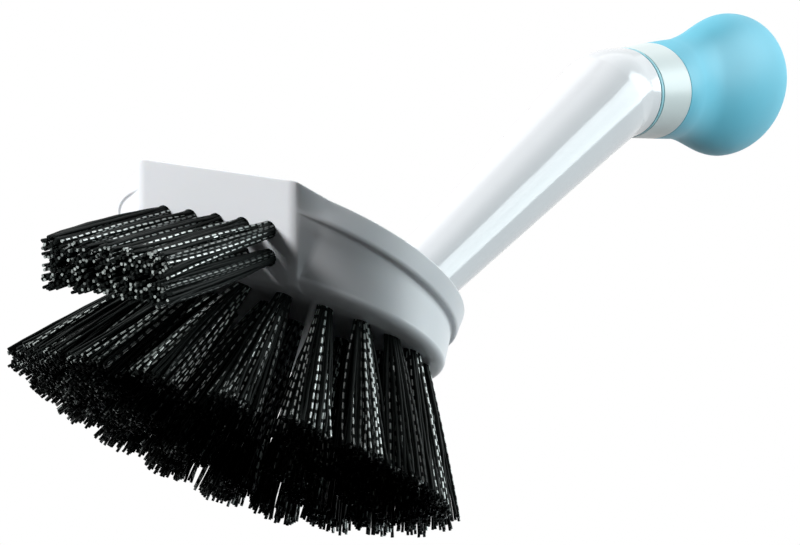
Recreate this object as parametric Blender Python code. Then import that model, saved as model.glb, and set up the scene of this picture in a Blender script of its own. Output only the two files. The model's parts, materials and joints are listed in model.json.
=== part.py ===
"""Dish brush: a drilled head full of tufts, a bent round handle and a soft paddle grip.

Metres, +Z up. The pieces are modelled in the head's frame: its origin is the middle of the
head's top, X runs from the slanted front pad back to the handle, and Y is across. The empty
named dish_brush carries them all. It stands the brush on its bristle tips, with the origin
under the middle of the brush's outer box.
"""

from math import asin, atan, cos, pi, radians, sin, sqrt, tan

import bmesh
import bpy
from mathutils import Matrix, Vector

# Clearances and overruns
FIT = 0.0003
SEAM = 0.0002
CUT_OVERRUN = 0.0020
WELD = 0.000005

# Head: the rim round its top, the lip below the rim, and the foot where the wall ends
RIM_HALF_WIDTH = 0.0325
RIM_FRONT_REACH = 0.03315
RIM_BACK_REACH = 0.03315
RIM_ROUNDING = 0.0006
LIP_HEIGHT = 0.0044
LIP_STEP = 0.0010
WALL_HEIGHT = 0.0088
FOOT_FLARE = 0.0005
FOOT_FRONT_INSET = 0.00665
FOOT_BACK_INSET = 0.00555
FOOT_SHIFT = 0.0020
FOOT_ROUNDING_HEIGHT = 0.0022
FOOT_ROUNDING_INSET = 0.0034
UNDERSIDE_RISE_SHARE = 0.05
OVAL_STEPS = 52
RIM_ROUNDING_STEPS = 2
FOOT_ROUNDING_STEPS = 4

FOOT_DEPTH = LIP_HEIGHT + WALL_HEIGHT
FOOT_HALF_WIDTH = RIM_HALF_WIDTH + FOOT_FLARE
FOOT_FRONT_REACH = RIM_FRONT_REACH - FOOT_FRONT_INSET
FOOT_BACK_REACH = RIM_BACK_REACH - FOOT_BACK_INSET

# Front pad: how far its flat, slanted face stands in front of the ovals where its sides
# leave them, at the top and at the foot
PAD_HALF_WIDTH = 0.01615
PAD_TOP_PROUD = 0.00328
PAD_FOOT_PROUD = 0.00059
RIM_CORNER = RIM_FRONT_REACH * sqrt(1 - (PAD_HALF_WIDTH / RIM_HALF_WIDTH) ** 2)
FOOT_CORNER = FOOT_FRONT_REACH * sqrt(1 - (PAD_HALF_WIDTH / FOOT_HALF_WIDTH) ** 2)
PAD_TOP_REACH = RIM_CORNER + PAD_TOP_PROUD
PAD_FOOT_REACH = FOOT_CORNER - FOOT_SHIFT + PAD_FOOT_PROUD

# Socket boss at the rear of the head, along the handle's axis
SOCKET_SETBACK = 0.00195
SOCKET_REACH = RIM_BACK_REACH - SOCKET_SETBACK
SOCKET_RADIUS = 0.0047
SOCKET_DEPTH = 0.0045
BOSS_RADIUS = 0.0076
BOSS_HEIGHT = 0.0080
BOSS_SINK = 0.0020
BOSS_ROUNDING = 0.0008

# Tufts: holes, the folded roots that fill them, and the bristles
HOLE_RADIUS = 0.00165
HOLE_DEPTH = 0.0043
ROOT_RECESS = 0.0004
BRISTLES_PER_TUFT = 8
BRISTLE_SPACING = 0.00026
HOLE_SIDES = 12

# Front pad: two rows of tufts
FRONT_ROWS = 2
FRONT_TUFTS_PER_ROW = 5
FRONT_SIDE_MARGIN = 0.00495
FRONT_TUFT_SPACING = 2 * (PAD_HALF_WIDTH - FRONT_SIDE_MARGIN) / (FRONT_TUFTS_PER_ROW - 1)
FRONT_ROW_SPACING = 0.0050
FRONT_ROW_MARGIN = 0.0021
FRONT_BRISTLE_LENGTH = 0.0340
FRONT_TUFT_SPREAD = 0.0013

# Underside: rings of tufts that follow the foot's oval, the outer one a margin inside it
RING_NAMES = ("outer", "middle", "inner")
RING_TUFTS = (22, 12, 6)
RING_FRONT_MARGIN = 0.0075
RING_BACK_MARGIN = 0.0046
RING_SIDE_MARGIN = 0.0044
RING_FRONT_REACH = FOOT_FRONT_REACH - RING_FRONT_MARGIN
RING_BACK_REACH = FOOT_BACK_REACH - RING_BACK_MARGIN
RING_HALF_LENGTH = (RING_FRONT_REACH + RING_BACK_REACH) / 2
RING_HALF_WIDTH = FOOT_HALF_WIDTH - RING_SIDE_MARGIN
RING_SHIFT = FOOT_SHIFT + (RING_BACK_REACH - RING_FRONT_REACH) / 2
RING_SPACING = 0.0072
BASE_BRISTLE_LENGTH = 0.0236
TIP_DEPTH = FOOT_DEPTH + FOOT_ROUNDING_HEIGHT + BASE_BRISTLE_LENGTH
BASE_TUFT_SPREAD = 0.0021
FAN_CENTRE = 0.0070
FAN_LENGTHWAYS_SHARE = 0.40
FAN_SIDEWAYS_SHARE = 0.38

# Handle: a tapering shaft, an elbow, and a core that carries the ring, the band and the grip
SHAFT_RISE = radians(57.5)
SHAFT_LENGTH = 0.0901
SHAFT_FOOT_RADIUS = 0.0058
ELBOW_TUBE_RADIUS = 0.0093
ELBOW_BEND_RADIUS = 0.0110
GRIP_RISE = radians(31.1)
SHAFT_NECK_RADIUS = 0.0088
CORE_RADIUS = 0.0058
CORE_EDGE = 0.0006
ELBOW_STEPS = 8
ROUND_SIDES = 36

# Along the grip's axis, from the elbow's corner outward
RING_START = 0.0058
RING_WIDTH = 0.0011
BAND_WIDTH = 0.00935
BAND_END_RADIUS = 0.0094

# Soft grip: a round neck that flares into a paddle, taller than it is wide, with a flat end
GRIP_NECK_LENGTH = 0.0068
GRIP_NECK_RADIUS = 0.0098
GRIP_FLARE_LENGTH = 0.0219
GRIP_HALF_HEIGHT = 0.0143
GRIP_HALF_WIDTH = 0.0086
GRIP_CROWN_LENGTH = 0.0214
GRIP_CROWN_CUT = 0.0017
GRIP_FLARE_STEPS = 10
GRIP_CROWN_STEPS = 9
PLUG_RIM = 0.0012
PLUG_LENGTH = 0.0120
PLUG_PROUD = 0.0003
PLUG_EDGE = 0.0003

BAND_START = RING_START + RING_WIDTH
GRIP_START = BAND_START + BAND_WIDTH
GRIP_NECK_END = GRIP_START + GRIP_NECK_LENGTH
GRIP_BELLY = GRIP_NECK_END + GRIP_FLARE_LENGTH
GRIP_END = GRIP_BELLY + GRIP_CROWN_LENGTH - GRIP_CROWN_CUT


def clear_scene():
    for thing in list(bpy.data.objects):
        bpy.data.objects.remove(thing, do_unlink=True)


def make_material(name, colour, roughness, metallic=0.0):
    material = bpy.data.materials.new(name)
    material.use_nodes = True
    shader = material.node_tree.nodes["Principled BSDF"]
    shader.inputs["Base Color"].default_value = (*colour, 1.0)
    shader.inputs["Roughness"].default_value = roughness
    shader.inputs["Metallic"].default_value = metallic
    return material


def add_object(name, mesh, material, root):
    """Link a mesh as a named piece on the root empty, with its round faces shaded smooth."""
    mesh.shade_smooth()
    mesh.set_sharp_from_angle(angle=radians(30))
    piece = bpy.data.objects.new(name, mesh)
    bpy.context.scene.collection.objects.link(piece)
    piece.parent = root
    if material:
        mesh.materials.append(material)
    return piece


def add_helper(name, mesh, root):
    helper = add_object(name, mesh, None, root)
    helper.hide_render = True
    helper.display_type = "WIRE"
    return helper


def finish_mesh(form, name):
    """Weld a bmesh, turn its faces outward and store it as a mesh."""
    bmesh.ops.remove_doubles(form, verts=form.verts, dist=WELD)
    bmesh.ops.recalc_face_normals(form, faces=form.faces)
    mesh = bpy.data.meshes.new(name)
    form.to_mesh(mesh)
    form.free()
    return mesh


def loft(rings, name, closed=False):
    """A skin over rings of equal point counts, with flat ends or closed ring to ring."""
    form = bmesh.new()
    loops = [[form.verts.new(point) for point in ring] for ring in rings]
    pairs = list(zip(loops, loops[1:]))
    if closed:
        pairs.append((loops[-1], loops[0]))
    else:
        form.faces.new(loops[0])
        form.faces.new(loops[-1])
    for lower, upper in pairs:
        for i, vertex in enumerate(lower):
            form.faces.new((lower[i - 1], vertex, upper[i], upper[i - 1]))
    return finish_mesh(form, name)


def turn(profile, name, closed=False):
    """Spin a profile of radius and height round Z; a closed profile makes a ring."""
    form = bmesh.new()
    points = [form.verts.new((radius, 0, height)) for radius, height in profile]
    pairs = list(zip(points, points[1:]))
    if closed:
        pairs.append((points[-1], points[0]))
    edges = [form.edges.new(pair) for pair in pairs]
    bmesh.ops.spin(
        form, geom=points + edges, cent=(0, 0, 0), axis=(0, 0, 1), angle=2 * pi,
        steps=ROUND_SIDES,
    )
    return finish_mesh(form, name)


def cut(piece, cutter, operation="DIFFERENCE"):
    modifier = piece.modifiers.new(cutter.name, "BOOLEAN")
    modifier.operation = operation
    modifier.solver = "EXACT"
    modifier.object = cutter


# Head


def head_ring(depth, shift, front, half_width, back, pad_reach):
    """The head's outline at one depth: the oval behind the pad's plane, then the pad."""
    side = pi - asin(PAD_HALF_WIDTH / half_width)
    points = [(-pad_reach, PAD_HALF_WIDTH)]
    for step in range(OVAL_STEPS + 1):
        angle = side * (1 - 2 * step / OVAL_STEPS)
        reach = back if cos(angle) > 0 else front
        along = max(shift + reach * cos(angle), -pad_reach)
        points.append((along, half_width * sin(angle)))
    points.append((-pad_reach, -PAD_HALF_WIDTH))
    return [Vector((x, y, -depth)) for x, y in points]


def pad_reach_at(depth):
    """How far the pad's plane lies in front of the origin at a depth below the top."""
    return PAD_TOP_REACH + (PAD_FOOT_REACH - PAD_TOP_REACH) * depth / FOOT_DEPTH


def rim_ring(depth, inset, pad_inset):
    return head_ring(
        depth, 0, RIM_FRONT_REACH - inset, RIM_HALF_WIDTH - inset, RIM_BACK_REACH - inset,
        pad_reach_at(depth) - pad_inset,
    )


def foot_level(x):
    """Height of the wall's foot: it rises from the pad's foot towards the back."""
    return UNDERSIDE_RISE_SHARE * (x + PAD_FOOT_REACH) - FOOT_DEPTH


def foot_ring(drop, inset):
    ring = head_ring(
        0, FOOT_SHIFT, FOOT_FRONT_REACH - inset, FOOT_HALF_WIDTH - inset,
        FOOT_BACK_REACH - inset, PAD_FOOT_REACH - inset,
    )
    for point in ring:
        point.z = foot_level(point.x) - drop
    return ring


def head_rings():
    rings = []
    for step in range(RIM_ROUNDING_STEPS + 1):
        angle = pi / 2 * step / RIM_ROUNDING_STEPS
        inset = RIM_ROUNDING * (1 - sin(angle))
        rings.append(rim_ring(RIM_ROUNDING * (1 - cos(angle)), inset, inset))
    rings.append(rim_ring(LIP_HEIGHT, 0, 0))
    rings.append(rim_ring(LIP_HEIGHT, LIP_STEP, 0))
    for step in range(FOOT_ROUNDING_STEPS + 1):
        angle = pi / 2 * step / FOOT_ROUNDING_STEPS
        drop = FOOT_ROUNDING_HEIGHT * sin(angle)
        rings.append(foot_ring(drop, FOOT_ROUNDING_INSET * (1 - cos(angle))))
    return rings


def boss_profile():
    """The boss is a capsule: a half ball sunk in the head, a straight side and a mouth."""
    points = []
    ball_steps = ROUND_SIDES // 4
    for step in range(ball_steps + 1):
        angle = pi / 2 * step / ball_steps
        points.append((BOSS_RADIUS * sin(angle), -BOSS_SINK - BOSS_RADIUS * cos(angle)))
    points.append((BOSS_RADIUS, BOSS_HEIGHT - BOSS_ROUNDING))
    points.append((BOSS_RADIUS - BOSS_ROUNDING, BOSS_HEIGHT))
    points.append((0, BOSS_HEIGHT))
    return points


def socket_profile():
    return [
        (0, -SOCKET_DEPTH),
        (SOCKET_RADIUS, -SOCKET_DEPTH),
        (SOCKET_RADIUS, BOSS_HEIGHT + CUT_OVERRUN),
        (0, BOSS_HEIGHT + CUT_OVERRUN),
    ]


def hole_cutter(seats, root):
    """One straight cutter for every tuft hole, set on each tuft's seat."""
    form = bmesh.new()
    length = HOLE_DEPTH + CUT_OVERRUN
    for seat in seats:
        made = bmesh.ops.create_cone(
            form, cap_ends=True, segments=HOLE_SIDES, radius1=HOLE_RADIUS, radius2=HOLE_RADIUS,
            depth=length,
        )
        bmesh.ops.translate(form, verts=made["verts"], vec=(0, 0, length / 2 - HOLE_DEPTH))
        bmesh.ops.transform(form, verts=made["verts"], matrix=seat)
    mesh = bpy.data.meshes.new("tuft_holes")
    form.to_mesh(mesh)
    form.free()
    return add_helper("tuft_holes", mesh, root)


def make_head(seats, root, white):
    head = add_object("head_block", loft(head_rings(), "head_block"), white, root)
    boss = add_helper("boss", turn(boss_profile(), "boss"), root)
    socket = add_helper("socket", turn(socket_profile(), "socket"), root)
    for helper in (boss, socket):
        helper.location = (SOCKET_REACH, 0, 0)
        helper.rotation_euler = (0, pi / 2 - SHAFT_RISE, 0)
    cut(head, hole_cutter(seats, root))
    cut(head, boss, "UNION")
    cut(head, socket)


# Tufts


def seat_matrix(place, angle):
    """Turn about Y by the seat's angle, then move to its place; +Z leaves the surface."""
    return Matrix.Translation(place) @ Matrix.Rotation(angle, 4, "Y")


def front_seats():
    """Seats on the pad, evenly spaced across it, each with the frame of its trimmed tips."""
    run = PAD_TOP_REACH - PAD_FOOT_REACH
    slope_length = sqrt(run ** 2 + FOOT_DEPTH ** 2)
    down = Vector((run, 0, -FOOT_DEPTH)) / slope_length
    top_edge = Vector((-PAD_TOP_REACH, 0, 0))
    outward = Vector((down.z, 0, -down.x))
    turn_angle = Vector((0, 0, 1)).angle(outward)
    seats = {}
    for row in range(FRONT_ROWS):
        rows_below = FRONT_ROWS - 1 - row
        along = slope_length - FRONT_ROW_MARGIN - FRONT_ROW_SPACING * rows_below
        for column in range(FRONT_TUFTS_PER_ROW):
            across = FRONT_TUFT_SPACING * (column - (FRONT_TUFTS_PER_ROW - 1) / 2)
            place = top_edge + down * along + Vector((0, across, 0))
            seat = seat_matrix(place, -turn_angle)
            trim = seat @ Matrix.Translation((0, 0, FRONT_BRISTLE_LENGTH))
            seats[f"front_tuft_r{row + 1}_{column + 1}"] = (seat, trim)
    return seats


def base_seats():
    """Seats on the underside, in rings that step inward, each with its tips' level frame."""
    seats = {}
    turn_angle = pi - atan(UNDERSIDE_RISE_SHARE)
    for ring, (ring_name, count) in enumerate(zip(RING_NAMES, RING_TUFTS)):
        half_length = RING_HALF_LENGTH - ring * RING_SPACING
        half_width = RING_HALF_WIDTH - ring * RING_SPACING
        for number in range(count):
            angle = pi * (2 * number + 1) / count
            x = RING_SHIFT + half_length * cos(angle)
            y = half_width * sin(angle)
            place = Vector((x, y, foot_level(x) - FOOT_ROUNDING_HEIGHT))
            tips = Vector((
                x + FAN_LENGTHWAYS_SHARE * (x - FAN_CENTRE), y + FAN_SIDEWAYS_SHARE * y,
                -TIP_DEPTH,
            ))
            seats[f"base_tuft_{ring_name}_{number + 1:02d}"] = (
                seat_matrix(place, turn_angle), seat_matrix(tips, pi),
            )
    return seats


def tuft_mesh(name, seat, trim, spread):
    """A root plug whose end is split into slices, each drawn out into one bristle.

    The root fills its hole but for the fit. The bristles run from the seat's frame to the
    plane of the trimmed tips' frame, where they stand apart by the spread.
    """
    form = bmesh.new()
    radius = HOLE_RADIUS - FIT
    top = -ROOT_RECESS
    bottom = FIT - HOLE_DEPTH
    angles = [2 * pi * i / BRISTLES_PER_TUFT for i in range(BRISTLES_PER_TUFT)]
    lower = [form.verts.new((radius * cos(a), radius * sin(a), bottom)) for a in angles]
    upper = [form.verts.new((radius * cos(a), radius * sin(a), top)) for a in angles]
    centre = form.verts.new((0, 0, top))
    form.faces.new(reversed(lower))
    slices = []
    for i, corner in enumerate(upper):
        form.faces.new((lower[i - 1], lower[i], corner, upper[i - 1]))
        slices.append(form.faces.new((centre, upper[i - 1], corner)))
    bmesh.ops.inset_individual(form, faces=slices, thickness=BRISTLE_SPACING)
    drawn = bmesh.ops.extrude_discrete_faces(form, faces=slices)
    trim_in_seat = seat.inverted() @ trim
    for tip in drawn["faces"]:
        outward = tip.calc_center_median()
        outward.z = 0
        travel = outward.normalized() * spread
        for vertex in tip.verts:
            vertex.co.z = 0
            vertex.co = trim_in_seat @ (vertex.co + travel)
    return finish_mesh(form, name)


def make_tufts(front, base, root, black):
    for seats, spread in ((front, FRONT_TUFT_SPREAD), (base, BASE_TUFT_SPREAD)):
        for name, (seat, trim) in seats.items():
            tuft = add_object(name, tuft_mesh(name, seat, trim, spread), black, root)
            tuft.matrix_basis = seat


# Handle


def shaft_rings():
    """Rings of the shaft from its spigot, up the taper and round the elbow, to its core."""
    rise = Vector((cos(SHAFT_RISE), 0, sin(SHAFT_RISE)))
    reach = Vector((cos(GRIP_RISE), 0, sin(GRIP_RISE)))
    corner = rise * SHAFT_LENGTH
    bend = SHAFT_RISE - GRIP_RISE
    tangent = ELBOW_BEND_RADIUS * tan(bend / 2)
    socket_floor = FIT - SOCKET_DEPTH
    shoulder = BOSS_HEIGHT + FIT
    spigot_radius = SOCKET_RADIUS - FIT
    taper = (ELBOW_TUBE_RADIUS - SHAFT_FOOT_RADIUS) / SHAFT_LENGTH
    shoulder_radius = SHAFT_FOOT_RADIUS + taper * shoulder
    stations = [
        (rise * socket_floor, SHAFT_RISE, spigot_radius - CORE_EDGE),
        (rise * (socket_floor + CORE_EDGE), SHAFT_RISE, spigot_radius),
        (rise * shoulder, SHAFT_RISE, spigot_radius),
        (rise * shoulder, SHAFT_RISE, shoulder_radius),
    ]
    bend_centre = corner - rise * tangent + Vector((rise.z, 0, -rise.x)) * ELBOW_BEND_RADIUS
    for step in range(ELBOW_STEPS + 1):
        share = step / ELBOW_STEPS
        angle = SHAFT_RISE - bend * share
        place = bend_centre + Vector((-sin(angle), 0, cos(angle))) * ELBOW_BEND_RADIUS
        radius = ELBOW_TUBE_RADIUS + (SHAFT_NECK_RADIUS - ELBOW_TUBE_RADIUS) * share
        stations.append((place, angle, radius))
    core_end = GRIP_END - PLUG_LENGTH - SEAM
    for distance, radius in (
        (RING_START - SEAM, SHAFT_NECK_RADIUS),
        (RING_START - SEAM, CORE_RADIUS),
        (core_end - CORE_EDGE, CORE_RADIUS),
        (core_end, CORE_RADIUS - CORE_EDGE),
    ):
        stations.append((corner + reach * distance, GRIP_RISE, radius))
    rings = []
    for place, angle, radius in stations:
        across = Vector((-sin(angle), 0, cos(angle)))
        ring = []
        for side in range(ROUND_SIDES):
            around = 2 * pi * side / ROUND_SIDES
            ring.append(place + (across * cos(around) + Vector((0, 1, 0)) * sin(around)) * radius)
        rings.append(ring)
    return rings


def sleeve_profile(start, end, start_radius, end_radius):
    """A sleeve on the core, from one station to the next less a seam."""
    bore = CORE_RADIUS + FIT
    return [(bore, start), (start_radius, start), (end_radius, end - SEAM), (bore, end - SEAM)]


def grip_section(station):
    """Half height and half width of the grip at a station on its axis."""
    paddle = GRIP_HALF_WIDTH / GRIP_HALF_HEIGHT
    if station <= GRIP_NECK_END:
        share = (station - GRIP_START) / GRIP_NECK_LENGTH
        height = BAND_END_RADIUS + (GRIP_NECK_RADIUS - BAND_END_RADIUS) * share
    elif station <= GRIP_BELLY:
        share = (station - GRIP_NECK_END) / GRIP_FLARE_LENGTH
        swell = (1 - cos(pi * share)) / 2
        height = GRIP_NECK_RADIUS + (GRIP_HALF_HEIGHT - GRIP_NECK_RADIUS) * swell
    else:
        share = (station - GRIP_BELLY) / GRIP_CROWN_LENGTH
        height = GRIP_HALF_HEIGHT * sqrt(1 - share ** 2)
    turn_length = GRIP_NECK_LENGTH + GRIP_FLARE_LENGTH / 2
    turned = min(1, (station - GRIP_START) / turn_length)
    squeeze = 1 - (1 - paddle) * turned ** 2 * (3 - 2 * turned)
    return height, height * squeeze


def oval_ring(half_height, half_width, station):
    """A ring across the grip's axis: its height lies in the brush's plane of symmetry."""
    ring = []
    for side in range(ROUND_SIDES):
        around = 2 * pi * side / ROUND_SIDES
        ring.append(Vector((-half_height * cos(around), half_width * sin(around), station)))
    return ring


def grip_stations():
    crown_end = asin((GRIP_CROWN_LENGTH - GRIP_CROWN_CUT) / GRIP_CROWN_LENGTH)
    stations = [GRIP_START, GRIP_START + GRIP_NECK_LENGTH / 2]
    for step in range(GRIP_FLARE_STEPS + 1):
        stations.append(GRIP_NECK_END + GRIP_FLARE_LENGTH * step / GRIP_FLARE_STEPS)
    for step in range(1, GRIP_CROWN_STEPS + 1):
        angle = crown_end * step / GRIP_CROWN_STEPS
        stations.append(GRIP_BELLY + GRIP_CROWN_LENGTH * sin(angle))
    return stations


def plug_section():
    """Half height and half width of the end plug, one rim inside the grip's end."""
    end_height, end_width = grip_section(GRIP_END)
    return end_height - PLUG_RIM, end_width - PLUG_RIM


def grip_rings():
    """The grip's outer skin, then back through the plug's hole and the core's bore."""
    bore = CORE_RADIUS + FIT
    core_end = GRIP_END - PLUG_LENGTH
    plug_height, plug_width = plug_section()
    rings = [oval_ring(*grip_section(station), station) for station in grip_stations()]
    rings.append(oval_ring(plug_height + FIT, plug_width + FIT, GRIP_END))
    rings.append(oval_ring(plug_height + FIT, plug_width + FIT, core_end))
    rings.append(oval_ring(bore, bore, core_end))
    rings.append(oval_ring(bore, bore, GRIP_START))
    return rings


def plug_rings():
    height, width = plug_section()
    end = GRIP_END + PLUG_PROUD
    return [
        oval_ring(height, width, GRIP_END - PLUG_LENGTH + FIT),
        oval_ring(height, width, end - PLUG_EDGE),
        oval_ring(height - PLUG_EDGE, width - PLUG_EDGE, end),
    ]


def make_handle(root, white, band_white, light_blue, soft_blue):
    shaft = add_object("handle_shaft", loft(shaft_rings(), "handle_shaft"), white, root)
    shaft.location = (SOCKET_REACH, 0, 0)
    corner = Vector((
        SOCKET_REACH + SHAFT_LENGTH * cos(SHAFT_RISE), 0, SHAFT_LENGTH * sin(SHAFT_RISE),
    ))
    ring = sleeve_profile(RING_START, BAND_START, SHAFT_NECK_RADIUS, SHAFT_NECK_RADIUS)
    band = sleeve_profile(BAND_START, GRIP_START, SHAFT_NECK_RADIUS, BAND_END_RADIUS)
    pieces = (
        ("accent_ring", turn(ring, "accent_ring", closed=True), light_blue),
        ("collar_band", turn(band, "collar_band", closed=True), band_white),
        ("soft_grip", loft(grip_rings(), "soft_grip", closed=True), soft_blue),
        ("end_plug", loft(plug_rings(), "end_plug"), band_white),
    )
    for name, mesh, material in pieces:
        piece = add_object(name, mesh, material, root)
        piece.location = corner
        piece.rotation_euler = (0, pi / 2 - GRIP_RISE, 0)


def stand_on_tips(root):
    """Move the root so that the origin lies under the middle of the brush, at its tips."""
    bpy.context.view_layer.update()
    points = []
    for piece in root.children:
        if not piece.hide_render:
            points += [piece.matrix_world @ vertex.co for vertex in piece.data.vertices]
    front = min(point.x for point in points)
    back = max(point.x for point in points)
    lowest = min(point.z for point in points)
    root.location = (-(front + back) / 2, 0, -lowest)


def main():
    clear_scene()
    root = bpy.data.objects.new("dish_brush", None)
    bpy.context.scene.collection.objects.link(root)
    white = make_material("white_plastic", (0.80, 0.82, 0.84), 0.35)
    band_white = make_material("band_plastic", (0.76, 0.84, 0.84), 0.35)
    light_blue = make_material("accent_plastic", (0.25, 0.55, 0.72), 0.4)
    soft_blue = make_material("soft_grip_rubber", (0.19, 0.50, 0.66), 0.55)
    black = make_material("black_nylon", (0.006, 0.010, 0.009), 0.4)
    front = front_seats()
    base = base_seats()
    make_head([seat for seat, trim in (*front.values(), *base.values())], root, white)
    make_tufts(front, base, root, black)
    make_handle(root, white, band_white, light_blue, soft_blue)
    stand_on_tips(root)


main()
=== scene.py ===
"""Dish brush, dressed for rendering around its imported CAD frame."""

import json
import random
from math import asin, cos, exp, pi, radians, sin, sqrt, tan

import bmesh
import bpy
from bpy.props import FloatProperty, FloatVectorProperty, IntProperty, PointerProperty
from bpy.types import Operator, Panel, PropertyGroup
from mathutils import Matrix, Vector


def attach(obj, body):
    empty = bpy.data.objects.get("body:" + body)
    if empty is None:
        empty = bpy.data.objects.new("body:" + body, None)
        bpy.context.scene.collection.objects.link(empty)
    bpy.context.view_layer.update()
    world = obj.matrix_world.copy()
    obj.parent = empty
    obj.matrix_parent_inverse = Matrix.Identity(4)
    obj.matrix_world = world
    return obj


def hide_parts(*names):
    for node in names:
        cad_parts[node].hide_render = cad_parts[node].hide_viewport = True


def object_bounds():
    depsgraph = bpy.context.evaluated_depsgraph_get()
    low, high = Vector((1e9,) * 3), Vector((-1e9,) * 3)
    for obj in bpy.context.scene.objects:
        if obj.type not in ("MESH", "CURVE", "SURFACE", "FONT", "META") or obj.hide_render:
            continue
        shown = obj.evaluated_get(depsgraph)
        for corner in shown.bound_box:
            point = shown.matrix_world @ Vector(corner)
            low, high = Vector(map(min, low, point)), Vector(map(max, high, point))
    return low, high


bl_info = {
    "name": "Dish brush",
    "version": (1, 0, 0),
    "blender": (4, 5, 0),
    "location": "3D View > Sidebar > Dish brush",
    "description": "Builds a crimped-bristle dish brush with a soft paddle grip",
    "category": "Object",
}

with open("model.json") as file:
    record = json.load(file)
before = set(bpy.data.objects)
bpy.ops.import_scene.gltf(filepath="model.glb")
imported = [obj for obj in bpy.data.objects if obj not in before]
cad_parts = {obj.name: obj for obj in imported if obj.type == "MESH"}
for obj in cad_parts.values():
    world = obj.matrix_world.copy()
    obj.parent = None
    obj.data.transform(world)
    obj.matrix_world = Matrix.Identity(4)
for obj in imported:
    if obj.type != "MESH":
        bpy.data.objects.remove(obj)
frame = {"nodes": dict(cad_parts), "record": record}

ROOT_BODY = "root"

# The head's own origin is the middle of its top; the mount lies a little in front of it
MOUNT = frame["record"]["mounts"][0]["pos_m"]
MOUNT_SETBACK = 0.008
HEAD_TOP = Vector((MOUNT[0] + MOUNT_SETBACK, 0, MOUNT[2]))
FRONT_TUFTS = sorted(name for name in frame["nodes"] if name.startswith("front_tuft"))
BASE_TUFTS = sorted(name for name in frame["nodes"] if name.startswith("base_tuft"))
CAD_BOX = [tuple(corner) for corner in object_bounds()]


# Sizes and colours a user would change


def length_property(name, description, default):
    """A length in metres for the panel."""
    return FloatProperty(name=name, description=description, default=default, unit="LENGTH")


def angle_property(name, description, degrees):
    """An angle for the panel."""
    return FloatProperty(name=name, description=description, default=radians(degrees),
                         subtype="ANGLE")


def colour_property(name, description, default):
    """A colour for the panel."""
    return FloatVectorProperty(name=name, description=description, default=default,
                               subtype="COLOR", min=0, max=1)


class HeadSizes(PropertyGroup):
    """Sizes of the moulded head"""

    half_width: length_property("Half width", "Half the head's width at its rim", 0.0325)
    half_length: length_property(
        "Half length", "Rim's reach to the front and to the back", 0.03315)
    lip_height: length_property("Lip height", "Height of the lip round the top", 0.0044)
    lip_step: length_property("Lip step", "How far the wall steps in under the lip", 0.0010)
    wall_height: length_property("Wall height", "Height of the wall under the lip", 0.0088)
    foot_half_width: length_property(
        "Foot half width", "Half width of the oval where the wall ends", 0.0330)
    foot_front: length_property("Foot front", "Front reach of the foot's oval", 0.0265)
    foot_back: length_property("Foot back", "Back reach of the foot's oval", 0.0276)
    foot_shift: length_property(
        "Foot shift", "How far the foot's oval sits behind the rim's", 0.0020)
    foot_drop: length_property(
        "Foot rounding height", "Height of the rounding under the wall", 0.0022)
    foot_inset: length_property(
        "Foot rounding inset", "Inward run of the rounding under the wall", 0.0034)
    pad_half_width: length_property(
        "Pad half width", "Half width of the slanted front pad", 0.01615)
    pad_top: length_property("Pad top reach", "Reach of the pad's plane at the top", 0.03205)
    pad_foot: length_property(
        "Pad foot reach", "Reach of the pad's plane at the wall's foot", 0.02170)
    rise: FloatProperty(
        name="Underside rise", description="Slope of the underside up towards the back",
        default=0.05)
    edge: length_property("Edge rounding", "Radius of the moulded edges", 0.0003)
    corner: length_property(
        "Pad corner", "Width of the bevel along the pad's upright edges", 0.0018)
    flare: length_property("Rim flare", "Run from the pad's edge out into the rim", 0.0045)
    foot_flare: length_property(
        "Foot flare", "Run from the pad's edge out into the foot", 0.0012)


class BristleSizes(PropertyGroup):
    """Sizes of the bristle tufts and their filaments"""

    front_count: IntProperty(
        name="Front filaments", description="Filaments in each front tuft", default=40, min=1)
    front_radius: length_property(
        "Front filament radius", "Radius of one front filament", 0.00030)
    base_count: IntProperty(
        name="Base filaments", description="Filaments in each base tuft", default=72, min=1)
    base_radius: length_property(
        "Base filament radius", "Radius of one base filament", 0.00026)
    root_radius: length_property(
        "Tuft radius", "Radius of a tuft where it leaves the head", 0.00135)
    pitch: length_property("Crimp pitch", "Length of one crimp along a filament", 0.0020)
    wave: length_property("Wave", "Sideways travel of the zigzag in a filament", 0.00005)
    stray: length_property("Stray", "How far worn tips wander from their places", 0.0003)


class HandleSizes(PropertyGroup):
    """Sizes of the handle"""

    shaft_rise: angle_property("Shaft rise", "Slope of the shaft above level", 57.5)
    grip_rise: angle_property("Grip rise", "Slope of the grip above level", 31.1)
    socket_reach: length_property(
        "Socket reach", "Where the shaft's axis meets the head's top", 0.0312)
    shaft_length: length_property(
        "Shaft length", "From the head's top to the elbow's corner", 0.0901)
    foot_radius: length_property("Shaft foot radius", "Shaft's radius at the head", 0.0058)
    elbow_radius: length_property("Elbow radius", "Shaft's radius at the elbow", 0.0093)
    neck_radius: length_property("Neck radius", "Radius at the thin ring", 0.0088)
    bend_radius: length_property("Bend radius", "Radius of the elbow's centre line", 0.0110)


class Finishes(PropertyGroup):
    """Colours of the plastics, the rubber and the nylon"""

    white: colour_property(
        "White plastic", "Colour of the head and the shaft", (0.80, 0.82, 0.85))
    band: colour_property(
        "Band", "Colour of the white band and the end plug", (0.76, 0.85, 0.85))
    grip: colour_property("Grip", "Colour of the soft grip", (0.12, 0.56, 0.74))
    accent: colour_property("Accent ring", "Colour of the thin ring", (0.28, 0.62, 0.70))
    nylon: colour_property("Nylon", "Colour of the filaments", (0.004, 0.006, 0.0055))


class DishBrush(PropertyGroup):
    """Everything about the brush that the panel shows"""

    head: PointerProperty(type=HeadSizes)
    bristles: PointerProperty(type=BristleSizes)
    handle: PointerProperty(type=HandleSizes)
    finishes: PointerProperty(type=Finishes)


# Modelling helpers

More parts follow.
